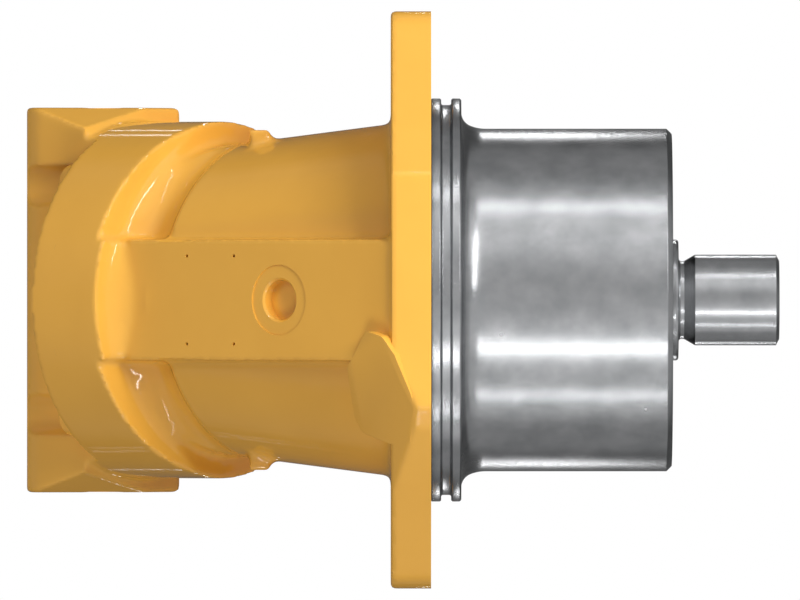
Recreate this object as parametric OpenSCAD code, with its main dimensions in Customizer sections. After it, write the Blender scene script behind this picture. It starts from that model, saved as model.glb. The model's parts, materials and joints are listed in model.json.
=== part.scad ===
// Bent-axis axial piston motor for plug-in mounting.
// +X runs along the drive shaft towards its free end and +Z is up. The origin is the centre of the flange's
// mounting face. The cylinder block lies behind the flange, swung towards +Y by the bend angle.

/* [Rotary group] */
// Angle between the shaft axis and the cylinder block axis
bend_angle = 40; // [39:0.5:41]
// Distance from the flange face back to the point where the two axes cross
pivot_back = 25; // [24:0.5:26]
// Radius of the circle of piston ball centres on the drive flange
ball_circle_r = 34; // [33:0.5:35]
// Diameter of a piston ball
ball_d = 24; // [23:0.5:25]
// Diameter of a cylinder bore
bore_d = 22.5; // [21:0.5:23]
// Distance from a piston's ball centre to its head centre
piston_l = 74; // [72:0.5:76]
// Diameter of a piston's neck behind the ball
neck_d = 11; // [9:0.5:11.5]
// Width of a piston ring
ring_w = 2; // [1.5:0.1:2.5]
// Radial depth of a piston ring
ring_depth = 2.2; // [1.8:0.1:2.4]
// Outer diameter of the cylinder block
block_d = 92; // [90:1:94]
// Front face of the cylinder block, from the axes' crossing point
block_front = 46; // [45:0.5:48]
// Bottom of the cylinder bores, from the axes' crossing point
bore_end = 112; // [108:0.5:113]
// Middle of the control face, from the axes' crossing point
control_t = 122; // [120:0.5:123]
// Radius of the spherical control face
control_r = 160; // [140:5:200]
// Diameter of the centre pin's ball
pin_ball_d = 19; // [17:0.5:20]
// Diameter of the centre pin's stem
pin_stem_d = 14; // [12:0.5:15]
// Diameter of the spring pocket in the cylinder block
spring_pocket_d = 26; // [25:0.5:28]
// Wire diameter of the centre spring
spring_wire_d = 3; // [2:0.25:3.5]
// Number of turns of the centre spring
spring_turns = 6; // [5:0.5:7]

/* [Drive shaft] */
// Diameter of the shaft end
shaft_end_d = 45; // [42:0.5:48]
// Length from the flange face to the end of the shaft
shaft_reach = 172.7; // [165:0.1:180]
// Diameter of the relief between the seal journal and the shaft end
shaft_relief_d = 38.7; // [36:0.1:40]
// Diameter of the seal journal
seal_journal_d = 60; // [58:1:62]
// Length of the seal journal that shows in front of the barrel
journal_proud = 3.3; // [2:0.1:5]
// Diameter of the drive flange
drive_flange_d = 104; // [103:0.5:107]
// Thickness of the drive flange
drive_flange_t = 22; // [20:0.5:24]
// Thickness of the retaining plate
retainer_t = 2.5; // [2:0.1:3]
// Radius of the circle of retaining screws
retainer_screw_circle_r = 44.5; // [44:0.1:45]
// Diameter of a retaining screw
retainer_screw_d = 5; // [4:0.5:5]
// Length of a retaining screw
retainer_screw_l = 15; // [12:1:18]

/* [Bearings] */
// Bore of both taper roller bearings
bearing_bore_d = 75; // [74:0.5:76]
// Outer diameter of both taper roller bearings
bearing_outer_d = 130; // [129:0.5:131]
// Roller length of the bearing beside the drive flange
rear_roller_l = 26; // [24:0.5:27]
// Roller length of the bearing beside the cover
front_roller_l = 19; // [17:0.5:21]
// Mean diameter of a roller
roller_d = 15; // [14:0.25:15.5]
// Tilt of the rollers to the shaft axis
roller_tilt = 14; // [12:0.5:15]
// Number of rollers in each bearing
roller_count = 18; // [16:1:18]
// Thickness of the shim that sets the bearing play
shim_t = 1.5; // [1:0.1:2.5]

/* [Barrel and cover] */
// Length of the barrel in front of the flange face
barrel_l = 119.4; // [112:0.1:130]
// Diameter of the barrel
barrel_d = 170; // [166:1:178]
// Chamfer at the front of the barrel
barrel_chamfer = 2.6; // [1:0.1:4]
// Diameter of the centring spigot
spigot_d = 200; // [195:1:205]
// Length of the centring spigot
spigot_l = 15; // [13:0.5:18]
// Width of the seal groove in the spigot
spigot_groove_w = 5; // [4:0.1:6]
// Depth of the seal groove in the spigot
spigot_groove_depth = 3.25; // [2:0.05:4]
// Radius of the fillet between the spigot and the barrel
barrel_fillet_r = 8.5; // [6:0.5:12]
// Thickness of the front cover
cover_t = 14.5; // [14:0.1:16]
// Diameter of the shaft seal
seal_d = 80; // [78:1:84]
// Width of the shaft seal
seal_w = 8; // [7:0.5:9]
// Depth of the snap ring below the barrel's mouth
mouth_depth = 5.4; // [4.8:0.1:6]
// Thickness of the snap ring
snap_t = 4; // [3:0.5:5]
// Radial height of the snap ring
snap_h = 7; // [6:0.5:8]
// Depth of the snap ring's groove
snap_groove_depth = 2; // [1.5:0.1:2.5]
// Section diameter of the cover's and the port plate's sealing rings
o_ring_d = 4; // [3:0.1:4.4]

/* [Housing] */
// Thickness of the mounting flange
flange_t = 20; // [18:0.5:24]
// Distance from a mounting hole to the flange's tip
flange_tip_margin = 18; // [16:0.5:22]
// Half width of the mounting flange
flange_half_w = 105.5; // [105:0.5:110]
// Height above the axis at which the flange's sides start to taper
flange_taper_z = 62; // [58:1:66]
// Angle of the flange's tapered sides
flange_taper_angle = 41; // [38:0.5:42]
// Corner radius at the flange's tips
flange_tip_r = 20; // [10:1:24]
// Distance between the two mounting holes
flange_hole_span = 250; // [246:1:252]
// Diameter of the mounting holes
flange_hole_d = 22; // [18:0.5:24]
// Radius of the neck where it meets the flange
neck_front_r = 87.5; // [85:0.5:90]
// Radius of the neck where it meets the rim
neck_rear_r = 76.5; // [76:0.5:78]
// Radius of the round rim that carries the port plate
rim_r = 89; // [88:0.5:92]
// Front face of the rim, from the axes' crossing point
rim_front = 102; // [100:0.5:104]
// Joint face of the rim, from the axes' crossing point
joint_t = 140; // [139:0.5:141]
// Radius of the cavity around the cylinder block
cavity_r = 60; // [58:0.5:61]
// Radius of the hollow fillet between the near side of the rim and the neck
rim_fillet_r = 19.5; // [16:0.5:22]
// Tilt of that fillet towards the flange
rim_fillet_tilt = 9.4; // [6:0.2:12]
// Distance of the flat side pad from the block axis
pad_s = 74; // [73:0.1:76]
// Half height of the side pad
pad_half_h = 30; // [26:0.5:34]
// Diameter of the drain ports' threads
drain_d = 22; // [18:1:24]
// Diameter of the near drain port's spot face
drain_spot_d = 34.7; // [30:0.1:38]
// Depth of the plug in the near drain port
drain_plug_depth = 5.9; // [4:0.1:8]
// Place of the near drain port, from the axes' crossing point
near_drain_t = 3.65; // [3:0.05:5]
// Place of the far drain port, from the axes' crossing point
far_drain_t = 82; // [80:0.5:83]
// Distance of the far drain port's spot face from the block's axis
far_drain_s = 77.4; // [77:0.1:80]
// Turn of the corner lug's face from the shaft axis
lug_turn = 43.3; // [42:0.1:45]
// Downward tilt of the corner lug's face
lug_tilt = 20.5; // [19:0.1:22]
// Distance of the corner lug's face from the origin
lug_face = 91.1; // [90:0.1:93]

/* [Port plate] */
// Rear face of the port plate, from the axes' crossing point
plate_rear = 211; // [209:0.5:214]
// Half width of the port block
plate_half_w = 38; // [37:0.5:42]
// Distance between the two port faces
port_face_span = 192.4; // [190:0.2:200]
// Radius of the port block's rear corners
plate_corner_r = 22; // [16:1:24]
// Seat of the control plate, from the axes' crossing point
control_seat = 134; // [133:0.5:136]
// Diameter of the work ports' threads
port_d = 33; // [30:1:36]
// Depth of the work ports
port_depth = 24; // [20:1:28]
// Centre of the work ports, from the axes' crossing point
port_t = 186; // [185:0.5:187]
// Offset of the port plate screws across the block
plate_screw_s = 42; // [41:0.5:43]
// Height of the port plate screws
plate_screw_z = 57; // [55:0.5:58]
// Diameter of the port plate screws
plate_screw_d = 14; // [12:1:14]
// Thickness of the port plate's round flange
plate_flange_t = 12.5; // [11:0.5:14]
// Length of the port plate screws' shanks
plate_screw_l = 40; // [34:1:42]
// Diameter of the rear plug's head
plug_head_d = 21; // [19:0.5:22]
// Height of the rear plug's head
plug_head_h = 12; // [8:0.5:13]
// Diameter of the rear plug's thread
plug_d = 14; // [12:1:16]
// Length of the rear plug's thread
plug_l = 16; // [12:1:18]

/* [Clearances] */
// Radial clearance of a running fit
run_gap = 0.05; // [0.03:0.01:0.08]
// Clearance of parts that sit still
seat_gap = 0.02; // [0.01:0.01:0.04]
// Play of a bearing roller in its cage
pocket_gap = 0.25; // [0.2:0.05:0.3]

/* [Hidden] */
$fn = 96;

paint = "#E0A23C";
steel = "#B9BBBD";
dark_steel = "#7E8285";
bronze = "#B88A4A";
rubber = "#26262A";

// Kinematics: a bore circle halfway between the ball circle and its tilted image keeps every piston at one
// small constant angle to its bore, so that the pistons circle evenly.
piston_count = 7;
pivot_x = -pivot_back;
bore_circle_r = ball_circle_r * (1 + cos(bend_angle)) / 2;
piston_offset = ball_circle_r * (1 - cos(bend_angle)) / 2;
piston_lean = asin(piston_offset / piston_l);
piston_reach = piston_l * cos(piston_lean);
function piston_angle(i) = 360 * (i - 1) / piston_count;

// Stations along the shaft
ball_r = ball_d / 2;
bearing_r = bearing_outer_d / 2;
drive_flange_back = pivot_x - 1;
drive_flange_front = drive_flange_back + drive_flange_t;
shoulder_x = drive_flange_front + 6;
cone_inset = 2;
snap_x = barrel_l - mouth_depth - snap_t;
cover_x = snap_x - cover_t;
front_cup_end = cover_x - shim_t;
shaft_ring_x = front_cup_end - cone_inset;
shaft_ring_t = 2.5;
front_cone_start = shaft_ring_x - cone_w(front_roller_l);
rear_cone_end = shoulder_x + cone_inset + cone_w(rear_roller_l);
seal_journal_end = barrel_l + journal_proud;
cover_recess = 3;
bearing_journal_end = cover_x + cover_recess - 1;

// Taper roller bearing: the roller, inner and outer raceways share one apex on the shaft axis
roller_pitch_r = (bearing_bore_d + bearing_outer_d) / 4 + 0.25;
roller_taper = atan(roller_d / 2 / (roller_pitch_r / sin(roller_tilt)));
apex_x = roller_pitch_r / tan(roller_tilt);
function cup_w(roller_l) = roller_l + 4;
function cone_w(roller_l) = roller_l + 10;
function roller_mid(roller_l) = cup_w(roller_l) / 2 + 3;
function race_r(x, roller_l, side) =
    (x - roller_mid(roller_l) + apex_x) * tan(roller_tilt + side * roller_taper);

// Stations along the block axis
cover_mid = cover_x + cover_t / 2 - 1;
screw_seat_t = joint_t + plate_flange_t;
collar_front_t = joint_t - 14;
port_plate_seal_t = joint_t - 7;
spring_seat_t = 93;
pin_collar_t = 50;
kidney_r = bore_circle_r - 3;
kidney_half_w = 4;
kidney_half_angle = 68;
slant_face = 41.8;
control_pin_s = -38;
control_pin_r = 2.5;

// Housing stations
flange_h = flange_hole_span + 2 * flange_tip_margin;
cavity_front_x = pivot_x - 25;
drive_cavity_r = drive_flange_d / 2 + 4;
big = 400;

// Outline with every corner that has a radius turned into an arc
function rounded(pts, radii, steps = 8) = [
    for (i = [0:len(pts) - 1])
        let (
            p = pts[i],
            a = pts[(i + len(pts) - 1) % len(pts)],
            b = pts[(i + 1) % len(pts)],
            u = (a - p) / norm(a - p),
            v = (b - p) / norm(b - p),
            half = acos(u * v) / 2,
            r = radii[i],
            c = r > 0 ? p + (u + v) / norm(u + v) * r / sin(half) : p,
            start = p + u * (r > 0 ? r / tan(half) : 0) - c,
            end = p + v * (r > 0 ? r / tan(half) : 0) - c,
            turn = r > 0 ? atan2(start.x * end.y - start.y * end.x, start * end) : 0
        )
        for (k = [0:r > 0 ? steps : 0])
            r > 0
                ? c + [
                    start.x * cos(turn * k / steps) - start.y * sin(turn * k / steps),
                    start.x * sin(turn * k / steps) + start.y * cos(turn * k / steps)
                ]
                : p
];

// Frame of the cylinder block: local +X runs rearwards along its axis and local +Y points to the near side
module bent() {
    translate([pivot_x, 0, 0]) rotate([0, 0, 180 - bend_angle]) children();
}

module rod(from, to, r) {
    translate([from, 0, 0]) rotate([0, 90, 0]) cylinder(h = to - from, r = r);
}

module taper(from, to, r_from, r_to) {
    translate([from, 0, 0]) rotate([0, 90, 0]) cylinder(h = to - from, r1 = r_from, r2 = r_to);
}

// Solid of revolution about X, from a profile with the radius across and the station upwards
module turned() {
    rotate([0, 90, 0]) rotate_extrude() children();
}

// Everything beyond the plane at the given distance along the given direction
module beyond(direction, distance) {
    length = norm(direction);
    rotate(a = acos(direction.z / length), v = [-direction.y, direction.x, 0])
        translate([-big / 2, -big / 2, distance / length]) cube(big);
}

// Outline of the corner lug, seen along its horizontal extrusion: place across, then height
lug_outline = [
    [29.2, -33.4], [50.2, -15], [60.6, -18], [66, -27], [70, -46], [70, -54], [60, -70], [45.3, -71.1],
    [28, -65.6], [24.9, -58.7]
];
lug_back = 45;
lug_normal = [-cos(lug_turn) * cos(lug_tilt), -sin(lug_turn) * cos(lug_tilt), -sin(lug_tilt)];

// Mounting flange: its near lower side has one corner more than the other three
module flange_plate() {
    tip_y = flange_half_w - (flange_h / 2 - flange_taper_z) * tan(flange_taper_angle);
    low_edge_z = -53;
    low_y = -97.8;
    low_z = -64;
    low_tip_y = low_y + (flange_h / 2 + low_z) * tan(flange_taper_angle + 1);
    outline = [
        [flange_half_w, flange_taper_z], [tip_y, flange_h / 2], [-tip_y, flange_h / 2],
        [-flange_half_w, flange_taper_z], [-flange_half_w, low_edge_z], [low_y, low_z],
        [low_tip_y, -flange_h / 2], [tip_y, -flange_h / 2], [flange_half_w, -flange_taper_z]
    ];
    radii = [4, flange_tip_r, flange_tip_r, 4, 4, 4, flange_tip_r, flange_tip_r, 4];
    difference() {
        translate([-flange_t, 0, 0]) rotate([90, 0, 90]) linear_extrude(flange_t)
            polygon(rounded(outline, radii));
        beyond(lug_normal, lug_face);
    }
}

module barrel_body() {
    spigot_r = spigot_d / 2;
    barrel_r = barrel_d / 2;
    groove_x = (spigot_l - spigot_groove_w) / 2;
    face_r = barrel_r + barrel_fillet_r;
    turned() difference() {
        polygon([
            [0, 0], [spigot_r, 0], [spigot_r, groove_x], [spigot_r - spigot_groove_depth, groove_x],
            [spigot_r - spigot_groove_depth, groove_x + spigot_groove_w],
            [spigot_r, groove_x + spigot_groove_w], [spigot_r, spigot_l - 1], [spigot_r - 1, spigot_l],
            [face_r, spigot_l], [face_r, spigot_l + barrel_fillet_r], [barrel_r, spigot_l + barrel_fillet_r],
            [barrel_r, barrel_l - barrel_chamfer], [barrel_r - barrel_chamfer, barrel_l], [0, barrel_l]
        ]);
        translate([face_r, spigot_l + barrel_fillet_r]) circle(barrel_fillet_r);
    }
}

module neck_body() {
    difference() {
        hull() {
            rod(-flange_t, -flange_t + 1, neck_front_r, $fn = 64);
            bent() rod(rim_front + 1, rim_front + 2, neck_rear_r, $fn = 64);
        }
        bent() translate([-90, pad_s, -pad_half_h]) cube([rim_front + 92, 20, 2 * pad_half_h]);
    }
}

// The near side of the rim runs into the pad and the neck in one large hollow fillet
module rim_body() {
    ring_r = pad_s + rim_fillet_r;
    foot_t = rim_front - 10;
    bent() difference() {
        union() {
            rod(rim_front, joint_t, rim_r);
            intersection() {
                rod(foot_t, rim_front, pad_s + 4);
                translate([0, 25, -big / 2]) cube(big);
            }
        }
        translate([foot_t, pad_s, 0]) rotate([0, 0, -rim_fillet_tilt]) translate([0, -pad_s, 0])
            turned() translate([ring_r, 0]) circle(rim_fillet_r);
    }
}

module side_pad() {
    intersection() {
        bent() translate([-90, 0, -pad_half_h]) cube([rim_front + 90, pad_s, 2 * pad_half_h]);
        translate([-big - flange_t + 0.3, -big / 2, -big / 2]) cube(big);
    }
}

module corner_lug() {
    difference() {
        rotate([90, 0, lug_turn - 90]) translate([0, 0, lug_back]) linear_extrude(lug_face - lug_back + 20)
            polygon(rounded(lug_outline, [5, 4, 3, 0, 0, 0, 0, 4, 4, 3], 3));
        beyond(lug_normal, lug_face);
        translate([-1, -big / 2, -big / 2]) cube(big);
    }
}

// Small cast lugs on the far side of the neck, in front of the rim
module far_lugs() {
    for (side = [0, 1]) mirror([0, 0, side])
        translate([-90, 38, 60]) rotate([90, 0, 0]) linear_extrude(16)
            polygon([[0, 0], [17, 0], [13, 18], [9, 24.5], [0, 24.5]]);
}

module plate_screw_places() {
    for (s = [-1, 1], z = [-1, 1]) translate([0, s * plate_screw_s, z * plate_screw_z]) children();
}

module housing_cavities() {
    bent() rod(0, joint_t + 1, cavity_r);
    rod(cavity_front_x, shoulder_x + 0.01, drive_cavity_r);
    rod(shoulder_x, barrel_l + 1, bearing_r);
    rod(snap_x, snap_x + snap_t + 2 * seat_gap, bearing_r + snap_groove_depth);
    taper(barrel_l - 1.5, barrel_l + 0.01, bearing_r, bearing_r + 1.5);
    bent() plate_screw_places()
        rod(screw_seat_t - plate_screw_l - 3, joint_t + 1, plate_screw_d / 2 + seat_gap);
}

// Drain port seen along its own axis, with its spot face at zero
module drain_port(face_s, spot_d) {
    core_d = drain_d - 2;
    spot_depth = 0.6;
    translate([0, 0, cavity_r - 6 - face_s]) cylinder(h = face_s - cavity_r + 6, d = core_d);
    translate([0, 0, -spot_depth - 1]) cylinder(h = 1.01, d1 = core_d, d2 = drain_d);
    translate([0, 0, -spot_depth]) cylinder(h = 2, d = spot_d);
}

module near_drain_place() {
    bent() translate([near_drain_t, pad_s, 0]) rotate([-90, 0, 0]) children();
}

module far_drain_place() {
    bent() translate([far_drain_t, -far_drain_s, 0]) rotate([90, 0, 0]) children();
}

// Boss on the far side of the neck for the port that the drain line uses
module far_drain_boss() {
    boss_l = far_drain_s - cavity_r + 2;
    far_drain_place() translate([0, 0, -boss_l]) cylinder(h = boss_l, d = drain_d + 14);
}

// Pressed-in cup that closes the near drain port
module drain_plug() {
    cup_r = drain_d / 2 - 1 - seat_gap;
    wall = 2;
    color(paint) near_drain_place() translate([0, 0, -0.6 - drain_plug_depth - 7]) difference() {
        cylinder(h = 7, r = cup_r);
        translate([0, 0, -1]) cylinder(h = 8 - wall, r = cup_r - wall);
    }
}

module name_plate_holes() {
    bent() for (t = [32.85, 63.35], z = [-21.8, 21.8])
        translate([t, pad_s + 1, z]) rotate([90, 0, 0]) cylinder(h = 7, d = 1.7);
}

module housing() {
    color(paint) difference() {
        union() {
            flange_plate();
            neck_body();
            rim_body();
            side_pad();
            corner_lug();
            far_lugs();
            far_drain_boss();
        }
        housing_cavities();
        near_drain_place() drain_port(pad_s, drain_spot_d);
        far_drain_place() drain_port(far_drain_s, drain_d + 10);
        name_plate_holes();
        for (z = [-1, 1]) translate([0, 0, z * flange_hole_span / 2])
            rod(-flange_t - 1, 1, flange_hole_d / 2);
    }
    color(steel) difference() {
        barrel_body();
        housing_cavities();
    }
}

// Front cover: presses the outer rings together through the shim and carries the shaft seal
module front_cover() {
    outer_r = bearing_r - run_gap;
    color(dark_steel) turned() difference() {
        polygon([
            [seal_journal_d / 2 + 1, cover_x + cover_recess], [bearing_r - 11, cover_x + cover_recess],
            [bearing_r - 11, cover_x], [outer_r, cover_x], [outer_r, snap_x - 1], [outer_r - 1, snap_x],
            [seal_d / 2 + 1, snap_x], [seal_d / 2 + seat_gap, snap_x - 1],
            [seal_d / 2 + seat_gap, snap_x - seal_w], [seal_journal_d / 2 + 1, snap_x - seal_w]
        ]);
        translate([bearing_r - o_ring_d, cover_mid - o_ring_d / 2 - 0.3])
            square([o_ring_d + 1, o_ring_d + 0.6]);
    }
}

module sealing_ring(at, r) {
    color(rubber) rod_place(at) rotate_extrude()
        translate([r - o_ring_d / 2, 0]) circle(o_ring_d / 2 - seat_gap);
}

module rod_place(at) {
    translate([at, 0, 0]) rotate([0, 90, 0]) children();
}

module cover_seal() {
    sealing_ring(cover_mid, bearing_r);
}

// Internal snap ring with a gap and two eyes for the pliers
module snap_ring() {
    outer_r = bearing_r + snap_groove_depth - 0.2;
    eye_r = 4.5;
    eye_angle = 16;
    gap_angle = 13;
    color(dark_steel) rod_place(snap_x + seat_gap) linear_extrude(snap_t) difference() {
        union() {
            difference() {
                circle(outer_r);
                circle(outer_r - snap_h);
                polygon([
                    [0, 0], 2 * bearing_r * [cos(gap_angle), -sin(gap_angle)],
                    2 * bearing_r * [cos(gap_angle), sin(gap_angle)]
                ]);
            }
            for (side = [-1, 1]) rotate(side * eye_angle) translate([outer_r - snap_h, 0]) circle(eye_r);
        }
        for (side = [-1, 1]) rotate(side * eye_angle) translate([outer_r - snap_h, 0]) circle(1.75);
    }
}

// Radial shaft seal: pressed outer cup, flexible lip on the seal journal
module shaft_seal() {
    lip_r = seal_journal_d / 2 + seat_gap;
    outer_r = seal_d / 2;
    back = snap_x - seal_w + seat_gap;
    color(rubber) turned() polygon([
        [lip_r + 3.5, back + 0.2], [lip_r, back + 2.2], [lip_r + 1.8, back + 4.2], [lip_r + 3.6, back + 5.2],
        [lip_r + 1.2, back + seal_w - 0.5], [lip_r + 1.2, snap_x], [outer_r - 0.5, snap_x],
        [outer_r, snap_x - 0.5], [outer_r, back + 0.5], [outer_r - 0.5, back], [outer_r - 1.6, back],
        [outer_r - 1.6, back + 5.2], [lip_r + 6, back + 5.2], [lip_r + 4.8, back + 0.2]
    ]);
}

module bearing_shim() {
    color(steel) difference() {
        rod(front_cup_end, cover_x, bearing_r - run_gap);
        rod(front_cup_end - 1, cover_x + 1, bearing_r - 9);
    }
}

// Both bearings are drawn with their outer ring's back face at zero and their large end forwards
module bearing_cup(roller_l) {
    w = cup_w(roller_l);
    outer_r = bearing_r - seat_gap;
    gap = run_gap / cos(roller_tilt + roller_taper);
    color(steel) turned() polygon([
        [race_r(0, roller_l, 1) + gap, 0], [outer_r - 1.5, 0], [outer_r, 1.5], [outer_r, w - 1],
        [outer_r - 1, w], [race_r(w, roller_l, 1) + gap, w]
    ]);
}

module bearing_cone(roller_l) {
    mid = roller_mid(roller_l);
    half = roller_l / 2;
    end_in = sin(roller_tilt) * roller_d / 2;
    low = mid - half * cos(roller_tilt) + end_in - 0.6;
    high = mid + half * cos(roller_tilt) + end_in + 0.4;
    end = cone_inset + cone_w(roller_l);
    bore_r = bearing_bore_d / 2 + seat_gap / 2;
    gap = run_gap / cos(roller_tilt - roller_taper);
    function race(x) = race_r(x, roller_l, -1) - gap;
    color(steel) turned() polygon([
        [bore_r + 1.2, cone_inset], [race(low) + 0.8, cone_inset], [race(low) + 1.5, cone_inset + 0.7],
        [race(low) + 1.5, low], [race(low), low], [race(high), high], [race(high) + 3, high],
        [race(high) + 3, end - 1], [race(high) + 2, end], [bore_r + 1.5, end], [bore_r, end - 1.5],
        [bore_r, cone_inset + 1.2]
    ]);
}

module roller_places(roller_l) {
    for (k = [0:roller_count - 1]) rotate([360 * k / roller_count, 0, 0])
        translate([roller_mid(roller_l), 0, roller_pitch_r]) rotate([0, 90 - roller_tilt, 0]) children();
}

module bearing_rollers(roller_l) {
    spread = roller_l / 2 * tan(roller_taper);
    edge = 0.8;
    color(steel) roller_places(roller_l) rotate_extrude() polygon([
        [0, -roller_l / 2], [roller_d / 2 - spread - edge, -roller_l / 2],
        [roller_d / 2 - spread, -roller_l / 2 + edge], [roller_d / 2 + spread, roller_l / 2 - edge],
        [roller_d / 2 + spread - edge, roller_l / 2], [0, roller_l / 2]
    ]);
}

// Pressed cage: a cone shell outside the roller axes, with one window for each roller
module bearing_cage(roller_l) {
    mid = roller_mid(roller_l);
    reach = roller_l / 2 + 2;
    sheet = 1.6;
    lift = 2.4;
    function shell(along, out) = [
        roller_pitch_r + along * sin(roller_tilt) + out * cos(roller_tilt),
        mid + along * cos(roller_tilt) - out * sin(roller_tilt)
    ];
    spread = roller_l / 2 * tan(roller_taper);
    color(bronze) difference() {
        turned() polygon([
            shell(-reach, lift), shell(reach, lift), shell(reach, lift + sheet), shell(-reach, lift + sheet)
        ]);
        roller_places(roller_l) translate([0, 0, -roller_l / 2 - pocket_gap])
            cylinder(
                h = roller_l + 2 * pocket_gap,
                r1 = roller_d / 2 - spread + pocket_gap,
                r2 = roller_d / 2 + spread + pocket_gap
            );
    }
}

module rear_bearing_place() {
    translate([shoulder_x, 0, 0]) children();
}

module front_bearing_place() {
    translate([front_cup_end, 0, 0]) mirror([1, 0, 0]) children();
}

// Drive shaft with the flange that holds the piston balls
module drive_shaft() {
    end_r = shaft_end_d / 2;
    journal_r = bearing_bore_d / 2;
    seal_r = seal_journal_d / 2;
    relief_r = shaft_relief_d / 2;
    flange_r = drive_flange_d / 2;
    cone_run = (end_r - relief_r) / tan(30);
    color(steel) difference() {
        turned() polygon([
            [0, drive_flange_back], [flange_r - 1.5, drive_flange_back], [flange_r, drive_flange_back + 1.5],
            [flange_r, drive_flange_front - 3], [flange_r - 3, drive_flange_front],
            [journal_r + 3.5, drive_flange_front], [journal_r + 3.5, shoulder_x + cone_inset],
            [journal_r, shoulder_x + cone_inset], [journal_r, shaft_ring_x],
            [journal_r - 1.5, shaft_ring_x], [journal_r - 1.5, shaft_ring_x + shaft_ring_t + 0.1],
            [journal_r, shaft_ring_x + shaft_ring_t + 0.1], [journal_r, bearing_journal_end - 1],
            [journal_r - 1, bearing_journal_end], [seal_r, bearing_journal_end],
            [seal_r, seal_journal_end - 1.2], [seal_r - 0.4, seal_journal_end - 0.4],
            [seal_r - 1.2, seal_journal_end], [relief_r + 1, seal_journal_end],
            [relief_r, seal_journal_end + 1], [relief_r, seal_journal_end + 2.8],
            [end_r, seal_journal_end + 2.8 + cone_run], [end_r, shaft_reach - 1.6],
            [end_r - 3, shaft_reach], [0, shaft_reach]
        ]);
        translate([pivot_x, 0, 0]) {
            for (i = [1:piston_count]) ball_place(i) socket(ball_r + run_gap);
            socket(pin_ball_d / 2 + run_gap);
        }
        retainer_screw_places() rod(-1, retainer_screw_l + 3, retainer_screw_d / 2 + seat_gap);
        rod(shaft_reach - 36, shaft_reach + 1, 7);
        taper(shaft_reach - 4, shaft_reach + 0.01, 7, 9.5);
    }
}

// Ball seat with its poles on the shaft's direction
module socket(r) {
    rotate([0, 90, 0]) sphere(r);
}

module ball_place(i) {
    rotate([piston_angle(i), 0, 0]) translate([0, ball_circle_r, 0]) children();
}

module retainer_screw_places() {
    for (i = [1:piston_count]) rotate([piston_angle(i + 0.5), 0, 0])
        translate([drive_flange_back, retainer_screw_circle_r, 0]) children();
}

module retaining_plate() {
    head_r = retainer_screw_d * 0.92;
    color(dark_steel) difference() {
        rod(drive_flange_back - retainer_t, drive_flange_back, drive_flange_d / 2);
        rod(drive_flange_back - retainer_t - 1, drive_flange_back + 1, pin_ball_d / 2 + 3.5);
        translate([pivot_x, 0, 0]) for (i = [1:piston_count]) ball_place(i) socket(ball_r + run_gap + 0.03);
        retainer_screw_places() {
            rod(-retainer_t - 1, 1, retainer_screw_d / 2 + 0.2);
            taper(-retainer_t, 0.1, head_r + 0.1, head_r - retainer_t);
        }
    }
}

// Countersunk screws, flush with the retaining plate
module retaining_screws() {
    head_r = retainer_screw_d * 0.92;
    head_h = head_r - retainer_screw_d / 2;
    color(dark_steel) retainer_screw_places() difference() {
        union() {
            rod(-retainer_t, retainer_screw_l - retainer_t, retainer_screw_d / 2);
            taper(-retainer_t, head_h - retainer_t, head_r, retainer_screw_d / 2);
        }
        rod(-retainer_t - 1, -retainer_t + 1.4, 1.7, $fn = 6);
    }
}

module bearing_spacer() {
    color(steel) difference() {
        rod(rear_cone_end, front_cone_start, bearing_bore_d / 2 + 5);
        rod(rear_cone_end - 1, front_cone_start + 1, bearing_bore_d / 2 + seat_gap / 2);
    }
}

// Open ring in the shaft's groove that holds the front inner ring
module shaft_ring() {
    groove_r = bearing_bore_d / 2 - 1.5;
    color(dark_steel) rod_place(shaft_ring_x + seat_gap) linear_extrude(shaft_ring_t) difference() {
        circle(groove_r + 6);
        circle(groove_r + seat_gap);
        rotate(-8) square([60, 9]);
    }
}

module cylinder_places() {
    for (i = [1:piston_count]) rotate([180 - piston_angle(i), 0, 0])
        translate([0, bore_circle_r, 0]) children();
}

// Profile of the convex control face's ball, which the block is hollowed by and the plate is shaped by
module control_ball_profile(gap = 0) {
    translate([0, control_t + control_r]) circle(control_r + gap, $fn = 720);
}

// Cylinder block with a hollow spherical control face
module cylinder_block() {
    block_r = block_d / 2;
    edge_t = control_t + control_r - sqrt(control_r ^ 2 - block_r ^ 2);
    color(dark_steel) bent() difference() {
        turned() difference() {
            polygon([
                [0, block_front], [block_r - 6, block_front], [block_r - 3, block_front + 2],
                [block_r - 3, block_front + 8], [block_r, block_front + 11], [block_r, edge_t - 14],
                [block_r - 4, edge_t - 10], [block_r - 4, edge_t + 2], [0, edge_t + 2]
            ]);
            control_ball_profile(run_gap / 2);
        }
        cylinder_places() {
            rod(block_front - 1, bore_end, bore_d / 2);
            taper(block_front - 0.01, block_front + 1, bore_d / 2 + 1, bore_d / 2);
            translate([bore_end - 1, -3, 0]) kidney_hole(8, 7);
        }
        rod(block_front - 1, spring_seat_t + 3, spring_pocket_d / 2);
        rod(block_front, edge_t + 3, pin_stem_d / 2 + run_gap);
    }
}

// Slotted passage along X: half length across, width and run
module kidney_hole(half_l, w, run = 40) {
    rotate([90, 0, 90]) linear_extrude(run) {
        square([w, 2 * (half_l - w / 2)], center = true);
        for (side = [-1, 1]) translate([0, side * (half_l - w / 2)]) circle(w / 2);
    }
}

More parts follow.
